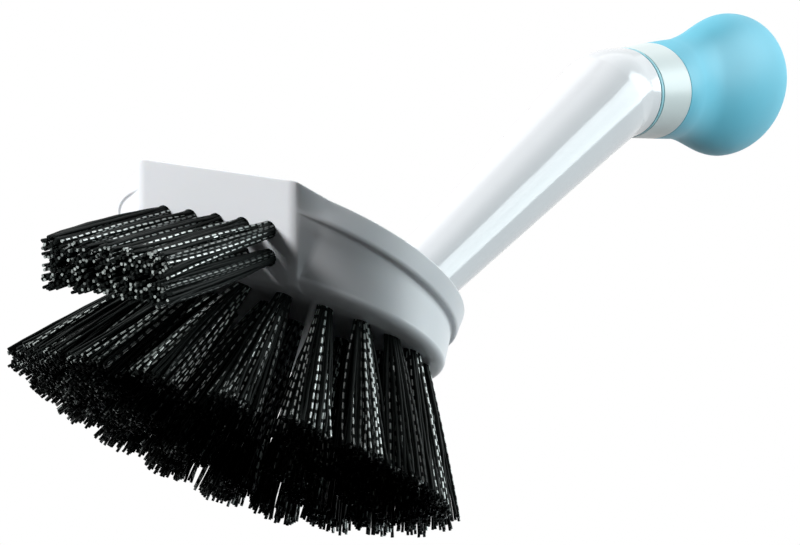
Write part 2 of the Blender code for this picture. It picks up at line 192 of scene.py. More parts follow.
MERGE_DISTANCE = 0.000004


def deselect_all():
    """Leave edit mode and clear the selection."""
    if bpy.context.mode != "OBJECT":
        bpy.ops.object.mode_set(mode="OBJECT")
    bpy.ops.object.select_all(action="DESELECT")


def loft(name, rings, closed=False):
    """Extrude one outline from ring to ring, then cap its ends or close it on itself."""
    deselect_all()
    bpy.ops.mesh.primitive_circle_add(vertices=len(rings[0]), radius=1, fill_type="NOTHING")
    piece = bpy.context.object
    piece.name = name
    piece.data.name = name
    bpy.ops.object.mode_set(mode="EDIT")
    bpy.ops.mesh.select_mode(type="VERT")
    bpy.ops.mesh.select_all(action="SELECT")
    for number, ring in enumerate(rings):
        if number:
            bpy.ops.mesh.extrude_region()
        form = bmesh.from_edit_mesh(piece.data)
        form.verts.ensure_lookup_table()
        start = number * len(ring)
        for vertex, place in zip(form.verts[start:start + len(ring)], ring):
            vertex.co = place
        bmesh.update_edit_mesh(piece.data)
    if closed:
        form = bmesh.from_edit_mesh(piece.data)
        for edge in form.edges:
            edge.select = edge.is_boundary
        bpy.ops.mesh.bridge_edge_loops()
    else:
        bpy.ops.mesh.select_all(action="DESELECT")
        bpy.ops.mesh.select_non_manifold()
        bpy.ops.mesh.edge_face_add()
    bpy.ops.mesh.select_all(action="SELECT")
    bpy.ops.mesh.remove_doubles(threshold=MERGE_DISTANCE)
    bpy.ops.mesh.normals_make_consistent(inside=False)
    bpy.ops.object.mode_set(mode="OBJECT")
    return piece


def finish(piece, material, slot, *nodes, angle=radians(35)):
    """Shade a piece, give it its material and let it stand for its CAD nodes."""
    deselect_all()
    piece.select_set(True)
    bpy.context.view_layer.objects.active = piece
    bpy.ops.object.transform_apply(location=True, rotation=True, scale=True)
    bpy.ops.object.shade_smooth_by_angle(angle=angle)
    piece.data.materials.clear()
    piece.data.materials.append(material)
    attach(piece, ROOT_BODY)
    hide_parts(*nodes)


def quarter(steps):
    """Sine and cosine pairs of an even quarter turn."""
    return [(sin(pi / 2 * i / steps), cos(pi / 2 * i / steps)) for i in range(steps + 1)]


# Materials

ROUGHNESS_SPREAD = 0.03
GRAIN_HEIGHT = 0.0001
PLASTIC_SHADE = 0.985
RUBBER_SHADE = 0.96
# Painted highlight: the pale colour of the glints on the nylon's crimps and cut ends
GLINT_COLOUR = (0.78, 0.88, 0.84)


def new_material(name):
    """A material with its nodes, its links and its main shader."""
    material = bpy.data.materials.new(name)
    material.use_nodes = True
    nodes = material.node_tree.nodes
    return material, nodes, material.node_tree.links, nodes["Principled BSDF"]


def object_noise(nodes, links, scale, detail=4.0):
    """Noise that stays with the piece."""
    coordinates = nodes.new("ShaderNodeTexCoord")
    noise = nodes.new("ShaderNodeTexNoise")
    noise.inputs["Scale"].default_value = scale
    noise.inputs["Detail"].default_value = detail
    links.new(coordinates.outputs["Object"], noise.inputs["Vector"])
    return noise


def vary_colour(nodes, links, factor, low, high):
    """A colour that goes from low to high round the middle of a factor."""
    ramp = nodes.new("ShaderNodeValToRGB")
    ramp.color_ramp.elements[0].position = 0.35
    ramp.color_ramp.elements[0].color = (*low, 1)
    ramp.color_ramp.elements[1].position = 0.65
    ramp.color_ramp.elements[1].color = (*high, 1)
    links.new(factor, ramp.inputs["Fac"])
    return ramp.outputs["Color"]


def vary_value(nodes, links, factor, low, high):
    """A value that goes from low to high with a factor."""
    spread = nodes.new("ShaderNodeMapRange")
    spread.inputs["To Min"].default_value = low
    spread.inputs["To Max"].default_value = high
    links.new(factor, spread.inputs["Value"])
    return spread.outputs["Result"]


def add_grain(nodes, links, shader, noise, strength):
    """Bump a shader with a fine noise."""
    bump = nodes.new("ShaderNodeBump")
    bump.inputs["Strength"].default_value = strength
    bump.inputs["Distance"].default_value = GRAIN_HEIGHT
    links.new(noise.outputs["Fac"], bump.inputs["Height"])
    links.new(bump.outputs["Normal"], shader.inputs["Normal"])


def moulded_plastic(name, colour, roughness, subsurface=0.0, gloss=0.5):
    """Satin moulded plastic: faint flow marks in its colour and gloss, and a fine grain."""
    material, nodes, links, shader = new_material(name)
    flow = object_noise(nodes, links, scale=60.0)
    fine = object_noise(nodes, links, scale=2600.0, detail=2.0)
    darker = tuple(channel * PLASTIC_SHADE for channel in colour)
    tone = vary_colour(nodes, links, flow.outputs["Fac"], darker, colour)
    links.new(tone, shader.inputs["Base Color"])
    satin = vary_value(nodes, links, flow.outputs["Fac"], roughness - ROUGHNESS_SPREAD,
                       roughness + ROUGHNESS_SPREAD)
    links.new(satin, shader.inputs["Roughness"])
    add_grain(nodes, links, shader, fine, strength=0.03)
    shader.inputs["IOR"].default_value = 1.49
    shader.inputs["Specular IOR Level"].default_value = gloss
    if subsurface:
        shader.inputs["Subsurface Weight"].default_value = subsurface
        shader.inputs["Subsurface Radius"].default_value = (1.0, 0.6, 0.4)
        shader.inputs["Subsurface Scale"].default_value = 0.0012
    return material


def soft_rubber(name, colour):
    """Soft rubber, slightly mottled in its colour and gloss, with a fine grain."""
    material, nodes, links, shader = new_material(name)
    flow = object_noise(nodes, links, scale=90.0)
    fine = object_noise(nodes, links, scale=3200.0, detail=3.0)
    darker = tuple(channel * RUBBER_SHADE for channel in colour)
    tone = vary_colour(nodes, links, flow.outputs["Fac"], darker, colour)
    links.new(tone, shader.inputs["Base Color"])
    satin = vary_value(nodes, links, flow.outputs["Fac"], low=0.44, high=0.50)
    links.new(satin, shader.inputs["Roughness"])
    add_grain(nodes, links, shader, fine, strength=0.06)
    shader.inputs["IOR"].default_value = 1.45
    shader.inputs["Specular IOR Level"].default_value = 0.6
    return material


def crimped_nylon(name, colour, pitch):
    """Black nylon with a painted highlight: pale glint dashes on its crimps and its cut ends. UV
    x says how strong a face's painted glint is, UV y how far along.
    """
    material, nodes, links, shader = new_material(name)
    along = nodes.new("ShaderNodeUVMap")
    along.uv_map = "filament"
    split = nodes.new("ShaderNodeSeparateXYZ")
    links.new(along.outputs["UV"], split.inputs["Vector"])
    phase = nodes.new("ShaderNodeMath")
    phase.operation = "MULTIPLY"
    phase.inputs[1].default_value = 2 * pi / pitch
    links.new(split.outputs["Y"], phase.inputs[0])
    crimp = nodes.new("ShaderNodeMath")
    crimp.operation = "SINE"
    links.new(phase.outputs["Value"], crimp.inputs[0])
    crest = nodes.new("ShaderNodeMapRange")
    crest.inputs["From Min"].default_value = -0.5
    crest.inputs["From Max"].default_value = -0.1
    links.new(crimp.outputs["Value"], crest.inputs["Value"])
    glint = nodes.new("ShaderNodeMath")
    glint.operation = "MULTIPLY"
    links.new(crest.outputs["Result"], glint.inputs[0])
    links.new(split.outputs["X"], glint.inputs[1])
    # Crests and cut ends are tinted pale as a painted highlight
    tint = nodes.new("ShaderNodeMix")
    tint.data_type = "RGBA"
    tint.inputs["A"].default_value = (*colour, 1)
    tint.inputs["B"].default_value = (*GLINT_COLOUR, 1)
    links.new(glint.outputs["Value"], tint.inputs["Factor"])
    links.new(tint.outputs["Result"], shader.inputs["Base Color"])
    shine = vary_value(nodes, links, glint.outputs["Value"], low=0.0, high=1.0)
    links.new(shine, shader.inputs["Coat Weight"])
    shader.inputs["Coat Roughness"].default_value = 0.16
    shader.inputs["Coat IOR"].default_value = 2.5
    shader.inputs["Roughness"].default_value = 0.6
    shader.inputs["Specular IOR Level"].default_value = 0.1
    return material


# Head

OVAL_STEPS = 150
BEVEL_STEPS = 4
FLARE_STEPS = 6
EDGE_STEPS = 5
FOOT_STEPS = 10
WALL_SHARES = (0.2, 0.4, 0.6, 0.8, 0.98)
BEVEL_DEPTH_SHARE = 0.3
LIP_ROUNDING = 0.0009
LIP_FILLET = 0.0006
LEAST_GAP = 0.0001

# Points and rings this far beyond a rounding keep its shading off the flat face beside it
SUPPORT = 0.0002

# A drill starts a little below its tuft's root and comes well out of the head
HOLE_SIDES = 24
HOLE_RADIUS = 0.00165
DRILL_LENGTH = 0.0080
DRILL_MIDDLE = 0.0037


def pad_reach(sizes, depth):
    """How far the pad's plane lies in front of the head's middle at a depth."""
    foot_depth = sizes.lip_height + sizes.wall_height
    return sizes.pad_top + (sizes.pad_foot - sizes.pad_top) * depth / foot_depth


def head_outline(sizes, depth, shift, front, half_width, back, reach, flare):
    """The head's outline at one depth, anticlockwise from the middle of the pad."""
    pad = sizes.pad_half_width
    side = pi - asin((pad + flare) / half_width)
    face_end = Vector((-reach, -(pad - sizes.corner / 2)))
    turn = Vector((-reach, -pad))
    bevel_end = Vector((BEVEL_DEPTH_SHARE * sizes.corner - reach, -(pad + sizes.corner / 2)))
    bend = [face_end + Vector((0, SUPPORT))]
    for step in range(BEVEL_STEPS + 1):
        share = step / BEVEL_STEPS
        bend.append(face_end.lerp(turn, share).lerp(turn.lerp(bevel_end, share), share))
    rim_x = max(shift + front * cos(side), bevel_end.x + LEAST_GAP)
    for step in range(1, FLARE_STEPS):
        bend.append(bevel_end.lerp(Vector((rim_x, -(pad + flare))), step / FLARE_STEPS))
    points = [(-reach, 0.0)] + [(point.x, point.y) for point in bend]
    for step in range(OVAL_STEPS + 1):
        angle = side * (2 * step / OVAL_STEPS - 1)
        length = back if cos(angle) > 0 else front
        along = max(shift + length * cos(angle), bevel_end.x + LEAST_GAP)
        points.append((along, half_width * sin(angle)))
    points += [(point.x, -point.y) for point in reversed(bend)]
    return [HEAD_TOP + Vector((x, y, -depth)) for x, y in points]


def head_rings(sizes):
    """Outlines of the head from its flat top, over lip, step, wall and foot, to its underside."""
    foot_depth = sizes.lip_height + sizes.wall_height

    def rim(depth, inset, pad_inset):
        return head_outline(
            sizes, depth, 0, sizes.half_length - inset, sizes.half_width - inset,
            sizes.half_length - inset, pad_reach(sizes, depth) - pad_inset, sizes.flare)

    def foot(drop, inset):
        pad_slope = (sizes.pad_top - sizes.pad_foot) / foot_depth
        ring = head_outline(
            sizes, foot_depth + drop, sizes.foot_shift, sizes.foot_front - inset,
            sizes.foot_half_width - inset, sizes.foot_back - inset,
            sizes.pad_foot - max(inset, pad_slope * drop), sizes.foot_flare)
        for point in ring:
            point.z += sizes.rise * (point.x - HEAD_TOP.x + sizes.pad_foot)
        return ring

    def wall(share):
        top = rim(sizes.lip_height, sizes.lip_step, 0)
        bottom = foot(0, 0)
        return [a.lerp(b, share) for a, b in zip(top, bottom)]

    top_inset = 3 * sizes.edge
    rings = [rim(0, top_inset, top_inset)]
    for sine, cosine in quarter(EDGE_STEPS):
        inset = sizes.edge * (1 - sine)
        rings.append(rim(sizes.edge * (1 - cosine), inset, inset))
    rings.append(rim(sizes.edge + SUPPORT, 0, 0))
    half_step = sizes.lip_step / 2
    for sine, cosine in quarter(EDGE_STEPS):
        depth = sizes.lip_height - LIP_ROUNDING * (1 - sine)
        rings.append(rim(depth, half_step * (1 - cosine), 0))
    for sine, cosine in quarter(EDGE_STEPS)[1:]:
        depth = sizes.lip_height + LIP_FILLET * (1 - cosine)
        rings.append(rim(depth, half_step * (1 + sine), 0))
    for share in WALL_SHARES:
        rings.append(wall(share))
    for sine, cosine in quarter(FOOT_STEPS):
        rings.append(foot(sizes.foot_drop * sine, sizes.foot_inset * (1 - cosine)))
    rings.append(foot(sizes.foot_drop, sizes.foot_inset + sizes.edge))
    return rings


def tuft_ends(node, outward, trim):
    """Middle of a tuft's root and of its trimmed tips, read from its CAD solid."""
    points = [vertex.co for vertex in frame["nodes"][node].data.vertices]
    slack = 0.0003
    near = min(point.dot(outward) for point in points)
    far = max(point.dot(trim) for point in points)
    roots = [p for p in points if p.dot(outward) < near + slack]
    tips = [p for p in points if p.dot(trim) > far - slack]
    return sum(roots, Vector()) / len(roots), sum(tips, Vector()) / len(tips)


def pad_outward(sizes):
    """The pad's outward normal."""
    run = sizes.pad_top - sizes.pad_foot
    drop = sizes.lip_height + sizes.wall_height
    return Vector((-drop, 0, -run)).normalized()


def underside_outward(sizes):
    """The slanted underside's outward normal."""
    return Vector((sizes.rise, 0, -1)).normalized()


def cut_holes(head, sizes):
    """Drill a blind hole under every tuft."""
    cutters = []
    for names, outward in (
            (FRONT_TUFTS, pad_outward(sizes)), (BASE_TUFTS, underside_outward(sizes))):
        for name in names:
            root = tuft_ends(name, outward, outward)[0]
            deselect_all()
            bpy.ops.mesh.primitive_cylinder_add(
                vertices=HOLE_SIDES, radius=HOLE_RADIUS, depth=DRILL_LENGTH,
                location=root + outward * DRILL_MIDDLE,
                rotation=outward.to_track_quat("Z", "Y").to_euler())
            cutters.append(bpy.context.object)
    deselect_all()
    for cutter in cutters:
        cutter.select_set(True)
    bpy.context.view_layer.objects.active = cutters[0]
    bpy.ops.object.join()
    drill = bpy.context.object
    deselect_all()
    head.select_set(True)
    bpy.context.view_layer.objects.active = head
    modifier = head.modifiers.new("holes", "BOOLEAN")
    modifier.object = drill
    modifier.solver = "EXACT"
    bpy.ops.object.modifier_apply(modifier=modifier.name)
    bpy.data.objects.remove(drill)


class DISHBRUSH_OT_head(Operator):
    """Mould the head: lip, step, wall, slanted pad, rounded foot, tuft holes and socket"""

    bl_idname = "dishbrush.head"
    bl_label = "Head"

    def execute(self, context):
        brush = context.scene.dish_brush
        head = loft("head_shell", head_rings(brush.head))
        cut_holes(head, brush.head)
        boss = loft("socket_boss", boss_rings(brush.handle))
        deselect_all()
        boss.select_set(True)
        head.select_set(True)
        context.view_layer.objects.active = head
        bpy.ops.object.join()
        white = moulded_plastic("head_plastic", brush.finishes.white, roughness=0.32,
                                subsurface=0.05, gloss=0.15)
        finish(head, white, "white_plastic", "head_block")
        return {"FINISHED"}


# Handle

ROUND_SIDES = 96
DOME_STEPS = 12
ROUNDING_STEPS = 4

# The boss and the shaft. Distances run along the shaft's axis from the head's top
BOSS_RADIUS = 0.0076
BOSS_SINK = 0.0020
BOSS_MOUTH = 0.0080
BOSS_EDGE = 0.0008
SOCKET_RADIUS = 0.0047
SOCKET_DEPTH = 0.0045
SPIGOT_RADIUS = 0.0044
SPIGOT_DEPTH = 0.0042
SHAFT_SHOULDER = 0.0083
SHAFT_EDGE = 0.0005
TAPER_STEPS = 12
ELBOW_STEPS = 24

# Neck, core, ring, band, grip and plug. Distances run along the grip from the elbow's corner
NECK_END = 0.0056
NECK_EDGE = 0.00012
CORE_RADIUS = 0.0058
CORE_END = 0.0500
BORE_RADIUS = 0.0061
RING_START = 0.0058
RING_END = 0.0067
RING_EDGE = 0.0001
BAND_START = 0.0069
BAND_END = 0.01622
BAND_END_RADIUS = 0.0094
BAND_EDGE = 0.00005
GRIP_START = 0.01625
GRIP_NECK = 0.0068
GRIP_FLARE = 0.0219
GRIP_CROWN = 0.0214
GRIP_CUT = 0.0017
GRIP_END = GRIP_START + GRIP_NECK + GRIP_FLARE + GRIP_CROWN - GRIP_CUT
GRIP_NECK_RADIUS = 0.0098
GRIP_HALF_HEIGHT = 0.01428
GRIP_HALF_WIDTH = 0.0086
GRIP_EDGE = 0.0002
GRIP_RIM = 0.0009
NECK_STEPS = 4
SWELL_STEPS = 24
CROWN_STEPS = 20
PLUG_LENGTH = 0.0117
PLUG_RIM = 0.0012
PLUG_EDGE = 0.0003
PLUG_PROUD = 0.0003


def sloping(rise):
    """The direction to the back that rises at an angle."""
    return Vector((cos(rise), 0, sin(rise)))


def round_station(distance, radius):
    """A round section at a distance along an axis."""
    return distance, radius, radius


def axis_rings(start, rise, stations):
    """Oval rings on a sloping axis, each from its distance, half height and half width."""
    along = sloping(rise)
    up = Vector((-sin(rise), 0, cos(rise)))
    across = Vector((0, 1, 0))
    rings = []
    for distance, height, width in stations:
        ring = []
        for side in range(ROUND_SIDES):
            turn = 2 * pi * side / ROUND_SIDES
            ring.append(start + along * distance + up * height * cos(turn)
                        + across * width * sin(turn))
        rings.append(ring)
    return rings


def socket_start(handle):
    """Where the shaft's axis meets the head's top."""
    return HEAD_TOP + Vector((handle.socket_reach, 0, 0))


def elbow_corner(handle):
    """Where the axes of the shaft and of the grip meet."""
    return socket_start(handle) + sloping(handle.shaft_rise) * handle.shaft_length


def boss_rings(handle):
    """A capsule sunk in the head whose mouth holds the shaft."""
    stations = []
    for sine, cosine in quarter(DOME_STEPS)[1:]:
        stations.append(round_station(-BOSS_SINK - BOSS_RADIUS * cosine, BOSS_RADIUS * sine))
    for sine, cosine in quarter(ROUNDING_STEPS):
        radius = BOSS_RADIUS - BOSS_EDGE * (1 - cosine)
        stations.append(round_station(BOSS_MOUTH - BOSS_EDGE * (1 - sine), radius))
    stations.append(round_station(BOSS_MOUTH, SOCKET_RADIUS))
    stations.append(round_station(-SOCKET_DEPTH, SOCKET_RADIUS))
    return axis_rings(socket_start(handle), handle.shaft_rise, stations)


def shaft_rings(handle):
    """Spigot, tapering shaft, elbow, the short neck before the thin ring, and the core."""
    taper = (handle.elbow_radius - handle.foot_radius) / handle.shaft_length
    shoulder_radius = handle.foot_radius + taper * SHAFT_SHOULDER
    stations = [
        round_station(-SPIGOT_DEPTH, SPIGOT_RADIUS - SHAFT_EDGE),
        round_station(SHAFT_EDGE - SPIGOT_DEPTH, SPIGOT_RADIUS),
        round_station(SHAFT_SHOULDER, SPIGOT_RADIUS),
    ]
    for sine, cosine in quarter(ROUNDING_STEPS):
        radius = shoulder_radius - SHAFT_EDGE * (1 - sine)
        stations.append(round_station(SHAFT_SHOULDER + SHAFT_EDGE * (1 - cosine), radius))
    bend = handle.shaft_rise - handle.grip_rise
    tangent = handle.bend_radius * tan(bend / 2)
    straight = handle.shaft_length - tangent
    for step in range(1, TAPER_STEPS):
        distance = (SHAFT_SHOULDER + SHAFT_EDGE
                    + (straight - SHAFT_SHOULDER - SHAFT_EDGE) * step / TAPER_STEPS)
        stations.append(round_station(distance, handle.foot_radius + taper * distance))
    rings = axis_rings(socket_start(handle), handle.shaft_rise, stations)
    corner = elbow_corner(handle)
    rise = sloping(handle.shaft_rise)
    inward = Vector((rise.z, 0, -rise.x))
    centre = corner - rise * tangent + inward * handle.bend_radius
    for step in range(ELBOW_STEPS + 1):
        share = step / ELBOW_STEPS
        angle = handle.shaft_rise - bend * share
        place = centre + Vector((-sin(angle), 0, cos(angle))) * handle.bend_radius
        radius = handle.elbow_radius + (handle.neck_radius - handle.elbow_radius) * share
        rings += axis_rings(place, angle, [round_station(0, radius)])
    stations = [
        round_station(NECK_END - NECK_EDGE, handle.neck_radius),
        round_station(NECK_END, handle.neck_radius - NECK_EDGE),
        round_station(NECK_END, CORE_RADIUS),
        round_station(CORE_END, CORE_RADIUS),
    ]
    return rings + axis_rings(corner, handle.grip_rise, stations)


def sleeve_rings(handle, start, end, start_radius, end_radius, edge):
    """A ring round the core with softly broken edges."""
    stations = [
        round_station(start, BORE_RADIUS),
        round_station(start, start_radius - edge),
        round_station(start + edge, start_radius),
        round_station(end - edge, end_radius),
        round_station(end, end_radius - edge),
        round_station(end, BORE_RADIUS),
    ]
    return axis_rings(elbow_corner(handle), handle.grip_rise, stations)


class DISHBRUSH_OT_shaft(Operator):
    """Draw the shaft: spigot, taper, elbow, neck and the core under the grip"""

    bl_idname = "dishbrush.shaft"
    bl_label = "Shaft"

    def execute(self, context):
        brush = context.scene.dish_brush
        shaft = loft("shaft_shell", shaft_rings(brush.handle))
        white = moulded_plastic("shaft_plastic", brush.finishes.white, roughness=0.13, gloss=0.8)
        finish(shaft, white, "white_plastic", "handle_shaft")
        return {"FINISHED"}


class DISHBRUSH_OT_bands(Operator):
    """Fit the thin coloured ring and the white band on the handle's core"""

    bl_idname = "dishbrush.bands"
    bl_label = "Ring and band"

    def execute(self, context):
        brush = context.scene.dish_brush
        handle = brush.handle
        radius = handle.neck_radius
        outline = sleeve_rings(handle, RING_START, RING_END, radius, radius, RING_EDGE)
        ring = loft("thin_ring", outline, closed=True)
        accent = soft_rubber("ring_plastic", brush.finishes.accent)
        finish(ring, accent, "accent_plastic", "accent_ring")
        outline = sleeve_rings(
            handle, BAND_START, BAND_END, radius, BAND_END_RADIUS, BAND_EDGE)
        band = loft("white_band", outline, closed=True)
        pale = moulded_plastic("band_plastic", brush.finishes.band, roughness=0.3)
        finish(band, pale, "band_plastic", "collar_band")
        return {"FINISHED"}


def grip_section(station):
    """Half height and half width of the grip at a distance from the elbow's corner."""
    if station <= GRIP_START + GRIP_NECK:
        share = (station - GRIP_START) / GRIP_NECK
        height = BAND_END_RADIUS + (GRIP_NECK_RADIUS - BAND_END_RADIUS) * share
    elif station <= GRIP_START + GRIP_NECK + GRIP_FLARE:
        share = (station - GRIP_START - GRIP_NECK) / GRIP_FLARE
        swell = GRIP_HALF_HEIGHT - GRIP_NECK_RADIUS
        height = GRIP_NECK_RADIUS + swell * (1 - cos(pi * share)) / 2
    else:
        share = (station - GRIP_START - GRIP_NECK - GRIP_FLARE) / GRIP_CROWN
        height = GRIP_HALF_HEIGHT * sqrt(1 - share ** 2)
    turned = min(1, (station - GRIP_START) / (GRIP_NECK + GRIP_FLARE / 2))
    flatness = 1 - GRIP_HALF_WIDTH / GRIP_HALF_HEIGHT
    squeeze = 1 - flatness * turned ** 2 * (3 - 2 * turned)
    return height, height * squeeze


def grip_stations():
    """Sections of the grip: round neck, swelling paddle, cut crown, and the plug's seat."""
    stations = [round_station(GRIP_START, BORE_RADIUS)]
    height, width = grip_section(GRIP_START)
    stations.append((GRIP_START, height - GRIP_EDGE, width - GRIP_EDGE))
    for step in range(NECK_STEPS):
        station = GRIP_START + GRIP_EDGE + (GRIP_NECK - GRIP_EDGE) * step / NECK_STEPS
        stations.append((station, *grip_section(station)))
    for step in range(SWELL_STEPS + 1):
        station = GRIP_START + GRIP_NECK + GRIP_FLARE * step / SWELL_STEPS
        stations.append((station, *grip_section(station)))
    last = asin((GRIP_CROWN - GRIP_CUT) / GRIP_CROWN)
    for step in range(1, CROWN_STEPS + 1):
        reach = GRIP_CROWN * sin(last * step / CROWN_STEPS)
        station = GRIP_START + GRIP_NECK + GRIP_FLARE + reach
        stations.append((station, *grip_section(station)))
    height, width = grip_section(GRIP_END)
    stations.append((GRIP_END, height - GRIP_RIM, width - GRIP_RIM))
    stations.append((GRIP_END - PLUG_LENGTH, height - GRIP_RIM, width - GRIP_RIM))
    stations.append(round_station(GRIP_END - PLUG_LENGTH, BORE_RADIUS))
    return stations


class DISHBRUSH_OT_grip(Operator):
    """Mould the soft grip: round neck, flare, paddle and the hole for its end plug"""

    bl_idname = "dishbrush.grip"
    bl_label = "Soft grip"

    def execute(self, context):
        brush = context.scene.dish_brush
        rings = axis_rings(elbow_corner(brush.handle), brush.handle.grip_rise, grip_stations())
        grip = loft("grip_rubber", rings, closed=True)
        rubber = soft_rubber("grip_rubber", brush.finishes.grip)
        finish(grip, rubber, "soft_grip_rubber", "soft_grip")
        return {"FINISHED"}


class DISHBRUSH_OT_plug(Operator):
    """Close the grip's end with its plug"""

    bl_idname = "dishbrush.plug"
    bl_label = "End plug"

    def execute(self, context):
        brush = context.scene.dish_brush
        height, width = grip_section(GRIP_END)
        stations = [(GRIP_END - PLUG_LENGTH, height - PLUG_RIM, width - PLUG_RIM)]
        for sine, cosine in quarter(ROUNDING_STEPS):
            inset = PLUG_EDGE * (1 - cosine)
            stations.append((GRIP_END + PLUG_PROUD - PLUG_EDGE * (1 - sine),
                             height - PLUG_RIM - inset, width - PLUG_RIM - inset))
        rings = axis_rings(elbow_corner(brush.handle), brush.handle.grip_rise, stations)
        plug = loft("end_cap", rings)
        pale = moulded_plastic("plug_plastic", brush.finishes.band, roughness=0.35)
        finish(plug, pale, "band_plastic", "end_plug")
        return {"FINISHED"}


# Bristles

FILAMENT_SIDES = 6
FILAMENT_SEGMENTS = 8
TUFT_SMOOTHING = radians(130)
ROOT_DEPTH = 0.0036
TRIM_SLACK = 0.0003
BOW = 0.0004
MARGIN_IN_RADII = 1.2
FRONT_SPREAD = 0.0026
BASE_SPREAD = 0.0050
FRONT_SEED = 11
BASE_SEED = 23

# The zigzag's travel grows from the root on, and is full at a sixth of the filament
WAVE_GROWTH = 6

# The way that a filament's painted highlight faces: halfway between the camera and the right
# softbox
LIT_SIDE = Vector((-0.34, -0.92, 0.20))

# A direction that no filament runs along, to turn its sides by
ACROSS = Vector((0.3, 0.9, 0.1))

# A filament's turn decides how strong its painted glint is: none below about half a turn, full at
# a whole turn
GLINT_GAIN = 1.1
GLINT_LOSS = 1.2
# Shares of the painted highlight on the cut ends and on the sides that face away from the light
TIP_GLINT_SHARE = 0.6
LEAST_TIP_GLINT = 0.3
SIDE_GLINT_SHARE = 0.02
FACING_SHARE = 0.9

# Use has dragged the base tips forwards on the left and backwards on the right, pushed the
# middle ones to the left and lifted the far left ones, all but the last more at the front
SWEEP_END = 0.030
SWEEP_RUN = 0.045
LEFT_DRAG = 0.10
RIGHT_DRAG = 0.24
PUSH = 0.0075
PUSH_MIDDLE = 0.002
PUSH_WIDTH = 0.018
LIFT = 0.004
LIFT_START = 0.010
LIFT_RUN = 0.028


def within_cad(point, margin):
    """A point pulled inside the CAD model's box."""
    low, high = CAD_BOX
    return Vector([max(a + margin, min(b - margin, value))
                   for value, a, b in zip(point, low, high)])


def filament_pattern():
    """One straight filament of unit length with even cuts along it."""
    deselect_all()
    bpy.ops.mesh.primitive_cylinder_add(
        vertices=FILAMENT_SIDES, radius=1, depth=1, end_fill_type="NGON",
        location=(0, 0, 0.5))
    pattern = bpy.context.object
    bpy.ops.object.transform_apply(location=True)
    bpy.ops.object.mode_set(mode="EDIT")
    form = bmesh.from_edit_mesh(pattern.data)
    for edge in form.edges:
        low, high = edge.verts
        runs_along = abs(low.co.z - high.co.z) > 0.5
        edge.select = runs_along
        edge.smooth = runs_along
    bpy.ops.mesh.subdivide(number_cuts=FILAMENT_SEGMENTS - 1)
    bpy.ops.object.mode_set(mode="OBJECT")
    mesh = pattern.data.copy()
    bpy.data.objects.remove(pattern)
    while mesh.uv_layers:
        mesh.uv_layers.remove(mesh.uv_layers[0])
    mesh.uv_layers.new(name="filament")
    return mesh


def bend_filament(pattern, root, tip, bow, wave, radius, turn, phase):
    """A copy of the pattern from root to tip, bowed and waved, with a painted highlight marked on
    the side that faces the light and on its cut ends.
    """
    mesh = pattern.copy()
    length = (tip - root).length
    along = (tip - root).normalized()
    side = along.cross(ACROSS).normalized()
    other = along.cross(side)
    zig = side * cos(turn) + other * sin(turn)
    for vertex in mesh.vertices:
        x, y, share = vertex.co
        step = round(share * FILAMENT_SEGMENTS)
        sway = wave * (1 if step % 2 else -1) * min(1, WAVE_GROWTH * share)
        middle = root.lerp(tip, share) + bow * (4 * share * (1 - share)) + zig * sway
        vertex.co = middle + (side * x + other * y) * radius
    layer = mesh.uv_layers["filament"]
    shares = [vertex.co.z for vertex in pattern.vertices]
    # How strong this filament's painted glint is, on its lit side and on its cut ends
    glint_share = max(0.0, GLINT_GAIN * turn / pi - GLINT_LOSS)
    tip_glint = TIP_GLINT_SHARE * glint_share if glint_share > LEAST_TIP_GLINT else 0.0
    lit_way = LIT_SIDE - along * LIT_SIDE.dot(along)
    facing = max(face.normal.dot(lit_way) for face in mesh.polygons)
    # The faces turned most towards the light get the full painted highlight
    for face in mesh.polygons:
        cut_end = len(face.vertices) == FILAMENT_SIDES
        on_lit_side = face.normal.dot(lit_way) > FACING_SHARE * facing
        glint = glint_share if on_lit_side else SIDE_GLINT_SHARE * glint_share
        for spot in face.loop_indices:
            share = shares[mesh.loops[spot].vertex_index]
            layer.data[spot].uv = (tip_glint, 0) if cut_end else (glint, share * length + phase)
    return mesh


def disc_places(count, radius, chance):
    """Even places on a disc by the golden angle, slightly shuffled."""
    golden = pi * (3 - sqrt(5))
    shuffle = 0.15
    places = []
    for i in range(count):
        distance = radius * sqrt((i + 0.5) / count)
        angle = golden * i + chance.uniform(-shuffle, shuffle)
        places.append((distance * cos(angle), distance * sin(angle)))
    return places


def drift(side, other, chance):
    """A random step across a filament, at most two each way."""
    return (side * max(-2, min(2, chance.gauss(0, 1)))
            + other * max(-2, min(2, chance.gauss(0, 1))))


def base_sweep(tip):
    """How use has swept a base tuft's tips, from their trimmed place."""
    x, y = tip.x - HEAD_TOP.x, tip.y
    front = max(0.0, min(1.0, (SWEEP_END - x) / SWEEP_RUN))
    left = max(0.0, (y - LIFT_START) / LIFT_RUN)
    drag = LEFT_DRAG * y if y > 0 else RIGHT_DRAG * y
    push = PUSH * front * exp(-((y - PUSH_MIDDLE) / PUSH_WIDTH) ** 2)
    return Vector((-drag * front, push, LIFT * min(1.0, left)))


